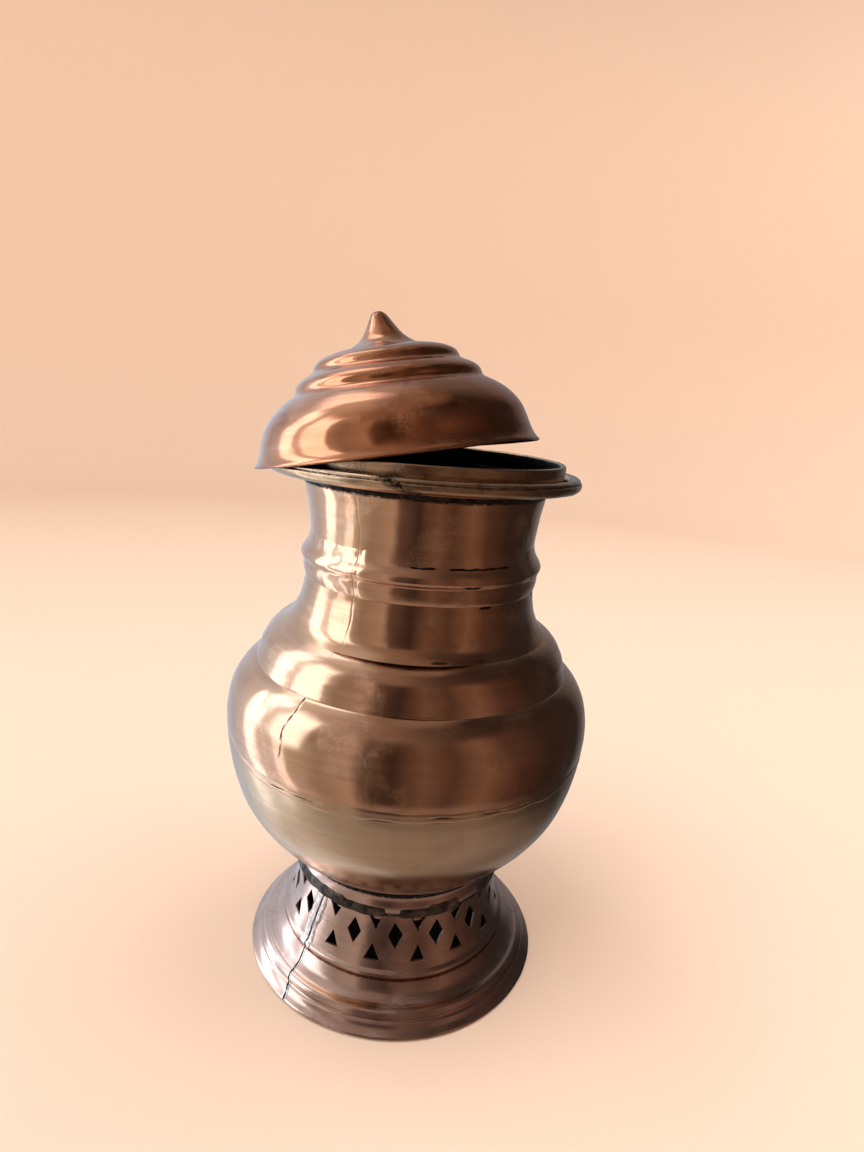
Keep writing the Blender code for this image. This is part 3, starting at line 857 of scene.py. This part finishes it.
def make_sleeves(metals):
    low_edge, top_edge = BEAD_HEIGHTS
    lower = flow(in_metres([(65.0, 165.0), (62.8, 166.9), (61.0, 168.4), (59.4, 169.8), (57.9, 171.3),
                            (56.6, 173.2), (55.4, 175.8), (54.2, 179.0), (53.3, 183.0), (52.6, 187.6)])
                 + in_metres([(52.5, 0.2), (52.3, 5.6)], height=low_edge))
    upper = flow([(50.6 * MM, low_edge - 4.0 * MM), (50.6 * MM, top_edge)]
                 + in_metres([(50.75, 207.0), (51.2, 213.5), (51.9, 219.0), (52.7, 224.0), (54.0, 230.0)])
                 + [NECK_TOP])

    def shape(azimuth, radius, height):
        moved = raised(azimuth, radius, height, 0.30 * MM, 0.15 * MM, 0.035 * MM)
        return moved - 0.03 * MM * seam_profile(azimuth, neck_seam_drift(height), radius, 0.8 * MM), height

    def lower_marks(azimuth, radius, height):
        # Painted shade: broken dark lines where the neck meets the shoulder and under the bead; the seam line
        # is the seam's own dark.
        foot = near_line(azimuth, height, 169.3 * MM, 0.45 * MM, 0.2 * MM, 51)
        under = near_line(azimuth, height, low_edge - 2.0 * MM, 0.5 * MM, 0.2 * MM, 52)
        split = seam_profile(azimuth, neck_seam_drift(height), radius, 0.35 * MM)
        foot = foot * spans(azimuth, 53, (8, 16), (24, 31), (105, 128))
        under = under * spans(azimuth, 54, (29, 37), (70, 96), (-150, -120))
        return np.maximum.reduce([0.5 * foot, under, 0.20 * split])

    def upper_marks(azimuth, radius, height):
        # Painted shade: broken dark lines in the gap above the bead and under the flange; the seam line is
        # the seam's own dark.
        above = near_line(azimuth, height, top_edge + 1.6 * MM, 0.32 * MM, 0.4 * MM, 64)
        under = near_line(azimuth, height, 232.2 * MM, 1.4 * MM, 0.5 * MM, 56)
        split = seam_profile(azimuth, neck_seam_drift(height), radius, 0.35 * MM)
        above = above * spans(azimuth, 57, (-4, 9), (13, 46), (92, 108), (150, 176))
        return np.maximum.reduce([above, 0.8 * under, 0.20 * split])

    pair = []
    for name, run, marks in (("neck_lower_sleeve_turned", lower, lower_marks),
                             ("neck_upper_sleeve_turned", upper, upper_marks)):
        section, inner = sheet(run, SHEET)
        pair.append(turned(name, section, shape, [metals["neck"], metals["inside"]], inner,
                           [(NECK_SEAM, 53 * MM)], marks))
    return pair


def make_bead(metals):
    low, top = BEAD_HEIGHTS
    lap = low + 6.1 * MM
    bulge = in_metres([(51.9, -3.2), (52.75, -1.4), (53.3, 0.6), (53.6, 2.6), (53.6, 4.4), (53.75, 5.6),
                       (54.4, 6.9), (54.85, 8.2)], height=low)
    fillet = in_metres([(54.6, -2.6), (53.8, -1.1), (52.8, 0.4), (52.0, 1.9), (51.4, 3.7), (51.0, 5.6),
                        (50.5, 7.4)], height=top)
    face = flow(bulge + fillet, 0.4 * MM)
    section = face + [(49.9 * MM, top), (51.0 * MM, lap), (52.0 * MM, lap), (51.6 * MM, low + 2 * MM)]
    ragged = ripples(63, 30, (6, 70), 400 * MM)
    knocks = ripples(69, 22, (16, 58), 7 * MM)

    def shape(azimuth, radius, height):
        moved = raised(azimuth, radius, height, 0.25 * MM, 0.22 * MM, 0.06 * MM)
        knocked = spans(azimuth, 68, (-66, -24))
        moved = moved - knocked * 0.30 * MM * np.clip(0.5 + 0.8 * knocks(azimuth, height), 0.0, 1.3)
        upper = np.clip((height - top) / (4.0 * MM), 0, 1)
        level = height - upper * np.clip(0.5 * MM * ragged(azimuth, 0 * height), 0, 1.2 * MM)
        return np.minimum(moved, BEAD_LIMIT), level

    def marks(azimuth, radius, height):
        # Painted shade: broken dark lines in the gap at the bead's top and in its lap groove; the seam line
        # is the seam's own dark.
        crest = near_line(azimuth, height, top + 1.6 * MM, 0.32 * MM, 0.4 * MM, 64)
        crest = crest * spans(azimuth, 65, (-4, 9), (13, 46), (92, 108), (150, 176))
        groove = near_line(azimuth, height, low + 6.6 * MM, 0.45 * MM, 0.2 * MM, 66)
        groove = groove * spans(azimuth, 67, (20, 29), (60, 74), (-140, -126))
        split = seam_profile(azimuth, neck_seam_drift(height), radius, 0.5 * MM)
        return np.maximum.reduce([crest, 0.8 * groove, 0.4 * split])

    return turned("neck_bead_moulded", section, shape, [metals["belly"]], None, [(NECK_SEAM, 54 * MM)], marks)


def make_neck_solder(metals):
    """Burnt, ragged solder under the flange."""
    level = NECK_TOP[1]
    rags = ripples(81, 34, (5, 80), 600 * MM)
    face = in_metres([(54.1, -3.0), (54.8, -2.6), (55.3, -1.6), (56.2, -0.1)], height=level)
    section = flow(face, 0.35 * MM) + in_metres([(54.6, -0.1), (54.0, -1.8)], height=level)

    def shape(azimuth, radius, height):
        below = np.clip((level - 0.4 * MM - height) / (2.4 * MM), 0, 1)
        reach = np.clip((radius - 54.4 * MM) / (1.4 * MM), 0, 1)
        rag = rags(azimuth, 0 * height) - 0.2
        return radius + reach * 0.2 * MM * rags(azimuth, height), height + below * 1.1 * MM * rag

    return turned("neck_top_solder_run", section, shape, [metals["scale"]])


def make_mouth(metals):
    """Rolled flange with the groove of its closed roll, and the turned collar."""
    centre = (FLANGE_RADIUS - FLANGE_ROLL, FLANGE_HEIGHT)
    inner_edge = NECK_TOP[0] - SHEET - 0.2 * MM
    wall = 0.9 * MM
    underside = FLANGE_HEIGHT - FLANGE_ROLL
    floor = underside + wall
    groove_angle, groove_width = 26.0, 20.0
    outer = []
    for radius, height in arc(centre, FLANGE_ROLL, -90.0, 165.0, 40):
        angle = math.degrees(math.atan2(height - centre[1], radius - centre[0]))
        groove = 0.4 * MM * math.exp(-((angle - groove_angle) / groove_width * 2.2) ** 2)
        shrink = (FLANGE_ROLL - groove) / FLANGE_ROLL
        outer.append((centre[0] + (radius - centre[0]) * shrink, centre[1] + (height - centre[1]) * shrink))
    inner = arc(centre, FLANGE_ROLL - wall, 165.0, -90.0, 20)
    section = [(inner_edge, floor), (inner_edge, underside + 0.1 * MM), (inner_edge + 4 * MM, underside)]
    section += [(inner_edge + 8 * MM, underside)] + outer + inner + [(inner_edge + 6 * MM, floor)]
    uneven = ripples(83, 24, (3, 34), 90 * MM)

    def flange_shape(azimuth, radius, height):
        rim = np.clip((radius - 60 * MM) / (8 * MM), 0, 1)
        moved = radius - rim * np.clip(0.2 * MM * (1 + uneven(azimuth, 0 * height)), 0, 0.6 * MM)
        level = height + rim * 0.16 * MM * uneven(azimuth + 1.3, 0 * height)
        return moved + 0.05 * MM * (PLANISH(azimuth, height) - 1.2), level

    def flange_marks(azimuth, radius, height):
        # Painted shade in the roll's groove and on the underside near the neck; the patches are stains.
        groove = near_line(azimuth, height, FLANGE_HEIGHT + 1.2 * MM, 0.35 * MM, 0.1 * MM, 84)
        groove = groove * (radius > 66 * MM)
        worn = patches(azimuth + 2 * height / (60 * MM), 85, 0.36)
        below = 0.8 * (height < underside + 0.25 * MM) * (radius < 66 * MM)
        return np.maximum.reduce([0.45 * groove, worn * 0.5, below])

    flange = turned("mouth_flange_rolled", section, flange_shape, [metals["mouth"]], marks=flange_marks)

    inside = COLLAR_RADIUS - COLLAR_WALL
    base = floor + GAP
    wall_out = in_metres([(0.6, 0.0), (-0.1, 1.0), (-0.2, 2.4)], COLLAR_RADIUS, base)
    rim_out = in_metres([(0.0, -2.6), (0.0, -0.9), (-0.35, -0.15), (-0.9, 0.0)], COLLAR_RADIUS, COLLAR_TOP)
    rim_in = in_metres([(0.7, -0.05), (0.0, -0.7), (-0.3, -3.0)], inside, COLLAR_TOP)
    wall_in = in_metres([(-0.7, 2.2), (-2.2, 1.5)], inside, base)
    face = joined(flow(wall_out + rim_out, 0.35 * MM), flow(rim_out[-1:] + rim_in + wall_in, 0.5 * MM))
    collar_section = face + [(inside - 2.2 * MM, base)]

    def collar_shape(azimuth, radius, height):
        moved = radius - np.clip(0.12 * MM * (1 + uneven(azimuth + 2, height)), 0, 0.4 * MM)
        top = np.clip((height - COLLAR_TOP + 5 * MM) / (5 * MM), 0, 1)
        bent = 0.9 * MM * np.maximum(np.cos(azimuth - math.radians(150)), 0) ** 2
        worn = np.clip(0.14 * MM * (1 + uneven(azimuth, 0 * height)), 0, 0.4 * MM)
        return moved, height + top * (bent - worn)

    def collar_marks(azimuth, radius, height):
        # Painted shade: a dark line where the collar stands on the flange, and darkening inside its bore; the
        # blots are stains.
        foot = 0.7 * near_line(azimuth, height, base + 0.4 * MM, 0.6 * MM, 0.2 * MM, 86)
        bore_shade = 0.9 * (radius < inside + 0.25 * MM)
        blot = 0.5 * patches(azimuth + 3 * height / (60 * MM), 87, 0.22)
        return np.maximum.reduce([foot, bore_shade, blot])

    collar = turned("mouth_collar_turned", collar_section, collar_shape, [metals["mouth"]],
                    marks=collar_marks)
    return flange, collar


# ---------------------------------------------------------------- the lid

def lid_matrix():
    tilt = Matrix.Rotation(-LID_TILT_FRONT, 4, 'X') @ Matrix.Rotation(-LID_TILT_SIDE, 4, 'Y')
    return Matrix.Translation(LID_PLACE) @ tilt


def make_lid(metals):
    pose = lid_matrix()
    outer = joined(flow(in_metres([(63.4, 0.35), (61.6, 2.6), (60.1, 6.0), (59.1, 9.2), (58.2, 12.0),
                                   (56.9, 15.0), (54.8, 18.1), (52.3, 20.9), (49.4, 23.4), (46.0, 25.7)])),
                   flow(in_metres([(46.0, 25.7), (43.6, 27.0), (42.2, 27.9), (41.5, 29.0), (41.2, 30.3),
                                   (40.6, 31.7), (39.4, 33.0), (37.6, 34.2), (35.4, 35.3), (33.8, 36.1),
                                   (32.8, 36.9), (32.3, 37.9), (31.9, 39.0), (31.0, 40.3), (29.4, 41.4),
                                   (26.8, 42.5), (23.4, 43.4), (19.0, 44.3), (14.6, 45.2), (10.0, 46.1)]),
                        0.6 * MM))
    section, inner = sheet(outer, LID_SHEET)
    lip_wave = ripples(101, 14, (2, 9), 900 * MM)

    def shape(azimuth, radius, height):
        moved = raised(azimuth + 0.8, radius, height + 31 * MM, 0.34 * MM, 0.14 * MM, 0.035 * MM)
        lip = np.clip(1 - height / (9 * MM), 0, 1) ** 2
        level = height + lip * 0.30 * MM * (lip_wave(azimuth, 0 * height) + 1.0) * 0.6
        sag = np.maximum(np.cos(azimuth - math.radians(125)), 0) ** 2
        level = level - np.clip(1 - height / (20 * MM), 0, 1) ** 1.5 * 3.2 * MM * sag
        return moved - lip * 0.25 * MM * (1 - lip_wave(azimuth + 1, 0 * height)) * 0.5, level

    def marks(azimuth, radius, height):
        # Painted shade in the creases between the tiers; darker along the lip's bottom edge.
        lip = 0.3 * np.clip(1 - height / (0.7 * MM), 0, 1)
        first = 0.14 * near_line(azimuth, height, 28.3 * MM, 0.5 * MM, 0.2 * MM, 103)
        second = 0.14 * near_line(azimuth, height, 37.1 * MM, 0.5 * MM, 0.2 * MM, 104)
        return np.maximum.reduce([lip, first, second])

    dome = turned("lid_dome_raised", section, shape, [metals["lid"], metals["inside"]], inner,
                  marks=marks, matrix=pose, aside=upright)

    outside = flow(in_metres([(16.4, 44.6), (15.0, 45.15), (13.4, 46.0), (11.6, 47.2), (9.8, 48.8),
                              (8.3, 50.6), (7.1, 52.4), (6.0, 54.2), (4.8, 56.2), (3.5, 58.2), (2.3, 59.3),
                              (1.1, 59.72), (0.15, 59.75)]), 0.5 * MM)
    hollow = in_metres([(0.15, 56.4), (2.4, 55.6), (4.0, 53.4), (5.6, 51.2), (8.4, 48.4), (11.4, 46.0),
                        (14.0, 44.8)])

    def tip_drift(height):
        return -1.3 * MM * np.clip((height - 47 * MM) / (12 * MM), 0, 1) ** 1.5

    def finial_shape(azimuth, radius, height):
        wobble = 1.0 + 0.03 * np.cos(2 * azimuth + 0.6) + 0.025 * np.cos(3 * azimuth + height / (3 * MM))
        near_tip = np.clip((height - 58.0 * MM) / (1.6 * MM), 0, 1)
        notch = np.exp(-((azimuth + 0.5) / 0.5) ** 2) * np.clip(radius / (2 * MM), 0, 1)
        return np.maximum(radius * wobble, 0.1 * MM), height - near_tip * 0.5 * MM * notch

    def finial_marks(azimuth, radius, height):
        # Painted shade in the crease of the folded tip.
        pinch = np.exp(-((azimuth + 0.2) * radius / (0.5 * MM)) ** 2) * (height > 58.3 * MM)
        return 0.6 * pinch

    finial = turned("lid_finial_folded", outside + hollow, finial_shape, [metals["lid"]],
                    marks=finial_marks, matrix=pose, aside=tip_drift)

    lumps = ripples(109, 16, (4, 24), 20 * MM)
    ring = flow(in_metres([(6.3, 46.4), (6.6, 45.0), (8.0, 44.2), (9.6, 44.8), (9.8, 46.2), (8.2, 47.8),
                           (6.3, 46.4)]), 0.5 * MM)[:-1]

    def ring_shape(azimuth, radius, height):
        return radius + 0.25 * MM * lumps(azimuth, height), height + 0.12 * MM * lumps(azimuth + 1, height)

    solder = turned("lid_finial_solder_run", ring, ring_shape, [metals["solder"]], matrix=pose,
                    aside=upright)
    return dome, finial, solder


# ---------------------------------------------------------------- stage

CAMERA_PLACE = Vector((6.643, -311.805, 265.973)) * MM
CAMERA_RIGHT = Vector((0.99667, 0.01942, 0.07917))
CAMERA_UP = Vector((-0.08152, 0.23748, 0.96797))
CAMERA_BACK = Vector((0.0, -0.97120, 0.23827))
CAMERA_LENS = 21.6


def make_camera():
    data = bpy.data.cameras.new("camera")
    data.lens = CAMERA_LENS
    data.sensor_width = 36.0
    data.clip_start = 0.01
    camera = bpy.data.objects.new("camera", data)
    bpy.context.scene.collection.objects.link(camera)
    place = Matrix((CAMERA_RIGHT, CAMERA_UP, CAMERA_BACK)).transposed().to_4x4()
    place.translation = CAMERA_PLACE
    camera.matrix_world = place
    bpy.context.scene.camera = camera


def plain_material(name, colour):
    material, _, shader = new_material(name)
    shader.inputs["Base Color"].default_value = (*colour, 1.0)
    shader.inputs["Roughness"].default_value = 0.9
    return material


def swept_round(name, profile, material, uneven=None, steps=96):
    """A surface of the stage: a profile turned about +Z, with an uneven reach if one is given."""
    verts = []
    for radius, height in profile:
        for step in range(steps):
            turn = math.tau * step / steps
            reach = radius * (1.0 + uneven(turn)) if uneven else radius
            verts.append((reach * math.cos(turn), reach * math.sin(turn), height))
    mesh = bpy.data.meshes.new(name)
    mesh.from_pydata(verts, [], grid_faces(len(profile), steps, True))
    mesh.materials.append(material)
    return finished(name, mesh)


def make_floor():
    """Pale sweep: a round floor that curves up into a wall far from the urn."""
    reach, bend, wall = 1.6, 0.6, 2.6
    profile = [(0.0, 0.0), (reach, 0.0)]
    profile += [(reach + bend * math.sin(angle), bend - bend * math.cos(angle))
                for angle in np.linspace(0.1, math.pi / 2, 14)]
    profile += [(reach + bend, wall)]
    floor = swept_round("pale_sweep", profile, plain_material("pale_paper", (0.84, 0.675, 0.545)))
    floor.visible_glossy = False


def make_shade_disc():
    """Painted shade: a near-black disc on the floor inside the hollow foot, where only shade falls."""
    edge_wave = ripples(7, 20, (3, 40), 1.0)

    def outline(turn):
        return 0.008 * float(edge_wave(turn, 0.0))

    rings = in_metres([(0.0, 0.5), (20.0, 0.5), (40.0, 0.5), (50.0, 0.45), (51.0, 0.2)])
    shade_black = plain_material("painted_shade_black", (0.012, 0.011, 0.011))
    swept_round("shade_disc", rings, shade_black, outline)


# The light around the urn, by azimuth in degrees: (azimuth, red, green, blue).
ROOM = [(-40, 0.42, 0.36, 0.32), (-29, 0.50, 0.42, 0.37), (-22, 0.14, 0.10, 0.085),
        (-4, 0.05, 0.034, 0.030), (14, 0.19, 0.125, 0.095), (30, 0.10, 0.060, 0.048),
        (50, 0.22, 0.145, 0.105), (68, 0.10, 0.058, 0.045), (95, 0.04, 0.028, 0.025),
        (130, 0.035, 0.032, 0.033), (150, 0.20, 0.20, 0.21), (180, 0.30, 0.30, 0.32)]
WALLS = [(-180, 0.30, 0.30, 0.32), (-158, 0.66, 0.80, 0.95), (-128, 0.62, 0.72, 0.86),
         (-112, 0.90, 1.05, 1.25), (-108, 2.70, 3.10, 3.70), (-96, 2.90, 3.30, 3.90),
         (-93, 1.10, 1.25, 1.45), (-87, 1.15, 1.30, 1.50), (-84, 2.40, 2.75, 3.20),
         (-63, 2.20, 2.45, 2.75), (-60, 0.55, 0.54, 0.52), (-50, 0.36, 0.32, 0.28)] + ROOM
SILL = [(-180, 0.30, 0.30, 0.32), (-158, 0.62, 0.72, 0.86), (-128, 0.62, 0.72, 0.86),
        (-112, 0.85, 1.00, 1.20), (-108, 2.50, 2.80, 3.30), (-99, 2.50, 2.80, 3.30),
        (-95, 0.90, 1.00, 1.15), (-82, 0.90, 1.00, 1.15), (-80, 1.70, 1.90, 2.20),
        (-73, 1.60, 1.75, 2.00), (-70, 0.66, 0.66, 0.64), (-50, 0.38, 0.34, 0.30)] + ROOM
CEILING = [(-180, 0.25, 0.25, 0.26), (-146, 0.60, 0.65, 0.75), (-136, 1.80, 2.05, 2.40),
           (-110, 2.00, 2.25, 2.60), (-102, 0.80, 0.82, 0.86), (-66, 0.56, 0.55, 0.54),
           (-40, 0.36, 0.30, 0.27), (0, 0.22, 0.16, 0.135), (30, 0.10, 0.072, 0.060),
           (80, 0.045, 0.032, 0.028), (120, 0.05, 0.045, 0.045), (155, 0.18, 0.18, 0.18),
           (180, 0.25, 0.25, 0.26)]
GROUND = [(-180, 0.40, 0.38, 0.38), (-130, 0.90, 0.92, 1.00), (-90, 0.80, 0.78, 0.80),
          (-50, 0.42, 0.36, 0.33), (0, 0.34, 0.27, 0.235), (60, 0.33, 0.26, 0.23),
          (110, 0.20, 0.155, 0.14), (150, 0.30, 0.27, 0.25), (180, 0.40, 0.38, 0.38)]
ZENITH = (0.26, 0.205, 0.18)
BRIGHTEST = 4.0


def make_world():
    """A dim warm room with a tall daylight window on its left, as a sky of soft panels."""
    world = bpy.data.worlds.new("studio")
    bpy.context.scene.world = world
    world.use_nodes = True
    tree = world.node_tree
    way = tree.nodes.new("ShaderNodeSeparateXYZ")
    tree.links.new(tree.nodes.new("ShaderNodeTexCoord").outputs["Generated"], way.inputs["Vector"])
    back = combined(tree, 'MULTIPLY', way.outputs["Y"], -1.0)
    azimuth = mapped(tree, combined(tree, 'ARCTAN2', way.outputs["X"], back), -math.pi, math.pi)

    def panels(stops):
        ramp = tree.nodes.new("ShaderNodeValToRGB")
        ramp.color_ramp.interpolation = 'LINEAR'
        elements = ramp.color_ramp.elements
        while len(elements) < len(stops):
            elements.new(0.5)
        for element, (angle, *colour) in zip(elements, stops):
            element.position = (angle + 180) / 360
            element.color = (*[value / BRIGHTEST for value in colour], 1.0)
        tree.links.new(azimuth, ramp.inputs["Fac"])
        return ramp.outputs["Color"]

    def above(low, high):
        node = mapped(tree, way.outputs["Z"], math.sin(math.radians(low)), math.sin(math.radians(high)))
        node.node.interpolation_type = 'SMOOTHSTEP'
        return node

    sky = mix_colour(tree, above(-52.0, -36.0), panels(GROUND), panels(SILL))
    sky = mix_colour(tree, above(-9.0, 1.0), sky, panels(WALLS))
    sky = mix_colour(tree, above(36.0, 50.0), sky, panels(CEILING))
    sky = mix_colour(tree, above(66.0, 82.0), sky, tuple(value / BRIGHTEST for value in ZENITH))
    shader = tree.nodes["Background"]
    tree.links.new(sky, shader.inputs["Color"])
    shader.inputs["Strength"].default_value = BRIGHTEST


def make_lights():
    """Soft light from above that brightens the paper and is not mirrored in the metal."""
    for name, azimuth, elevation, distance, size, power, colour in (
            ("paper_key", -60.0, 60.0, 2.2, 1.8, 32.5, (1.0, 0.97, 0.95)),
            ("paper_fill", 110.0, 62.0, 2.2, 2.0, 23.5, (1.0, 0.97, 0.95))):
        data = bpy.data.lights.new(name, 'AREA')
        data.size = size
        data.energy = power
        data.color = colour
        lamp = bpy.data.objects.new(name, data)
        bpy.context.scene.collection.objects.link(lamp)
        turn, rise = math.radians(azimuth) + FRONT, math.radians(elevation)
        way = Vector((math.cos(rise) * math.cos(turn), math.cos(rise) * math.sin(turn), math.sin(rise)))
        lamp.location = way * distance
        lamp.rotation_euler = way.to_track_quat('Z', 'Y').to_euler()
        lamp.visible_glossy = False


def main():
    make_camera()
    make_floor()
    # Painted shade on the floor inside the foot.
    make_shade_disc()
    make_world()
    make_lights()
    bpy.context.scene.view_settings.view_transform = 'Standard'
    metals = make_materials()

    stands_for(make_foot_skirt(metals), "vessel", "foot_copper", "foot_skirt")
    stands_for(make_gallery(metals), "vessel", "foot_copper", "foot_gallery")
    stands_for(make_foot_seam(metals), "vessel", "grey_solder", "foot_seam_solder")
    socket, solder = make_socket_and_solder(metals)
    stands_for(socket, "vessel", "foot_copper", "bowl_socket_ring")
    stands_for(solder, "vessel", "grey_solder", "foot_top_solder")
    stands_for(make_bowl(metals), "vessel", "bowl_brass", "belly_lower_bowl")
    stands_for(make_upper_shell(metals), "vessel", "belly_copper", "belly_upper_shell")
    stands_for(make_belly_braze(metals), "vessel", "yellow_braze", "belly_seam_braze")
    stands_for(make_shoulder(metals), "vessel", "belly_copper", "shoulder_cap")
    lower, upper = make_sleeves(metals)
    stands_for(lower, "vessel", "neck_bronze", "neck_lower_sleeve")
    stands_for(upper, "vessel", "neck_bronze", "neck_upper_sleeve")
    stands_for(make_bead(metals), "vessel", "belly_copper", "neck_bead")
    stands_for(make_neck_solder(metals), "vessel", "grey_solder", "neck_top_solder")
    flange, collar = make_mouth(metals)
    stands_for(flange, "vessel", "mouth_brass", "mouth_flange")
    stands_for(collar, "vessel", "mouth_brass", "mouth_collar")
    dome, finial, finial_solder = make_lid(metals)
    stands_for(dome, "lid", "lid_copper", "lid_dome")
    stands_for(finial, "lid", "lid_copper", "lid_finial")
    stands_for(finial_solder, "lid", "grey_solder", "lid_finial_solder")

    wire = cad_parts["flange_rim_wire"]
    wire.data.materials.clear()
    wire.data.materials.append(metals["wire"])


main()
bpy.context.view_layer.update()
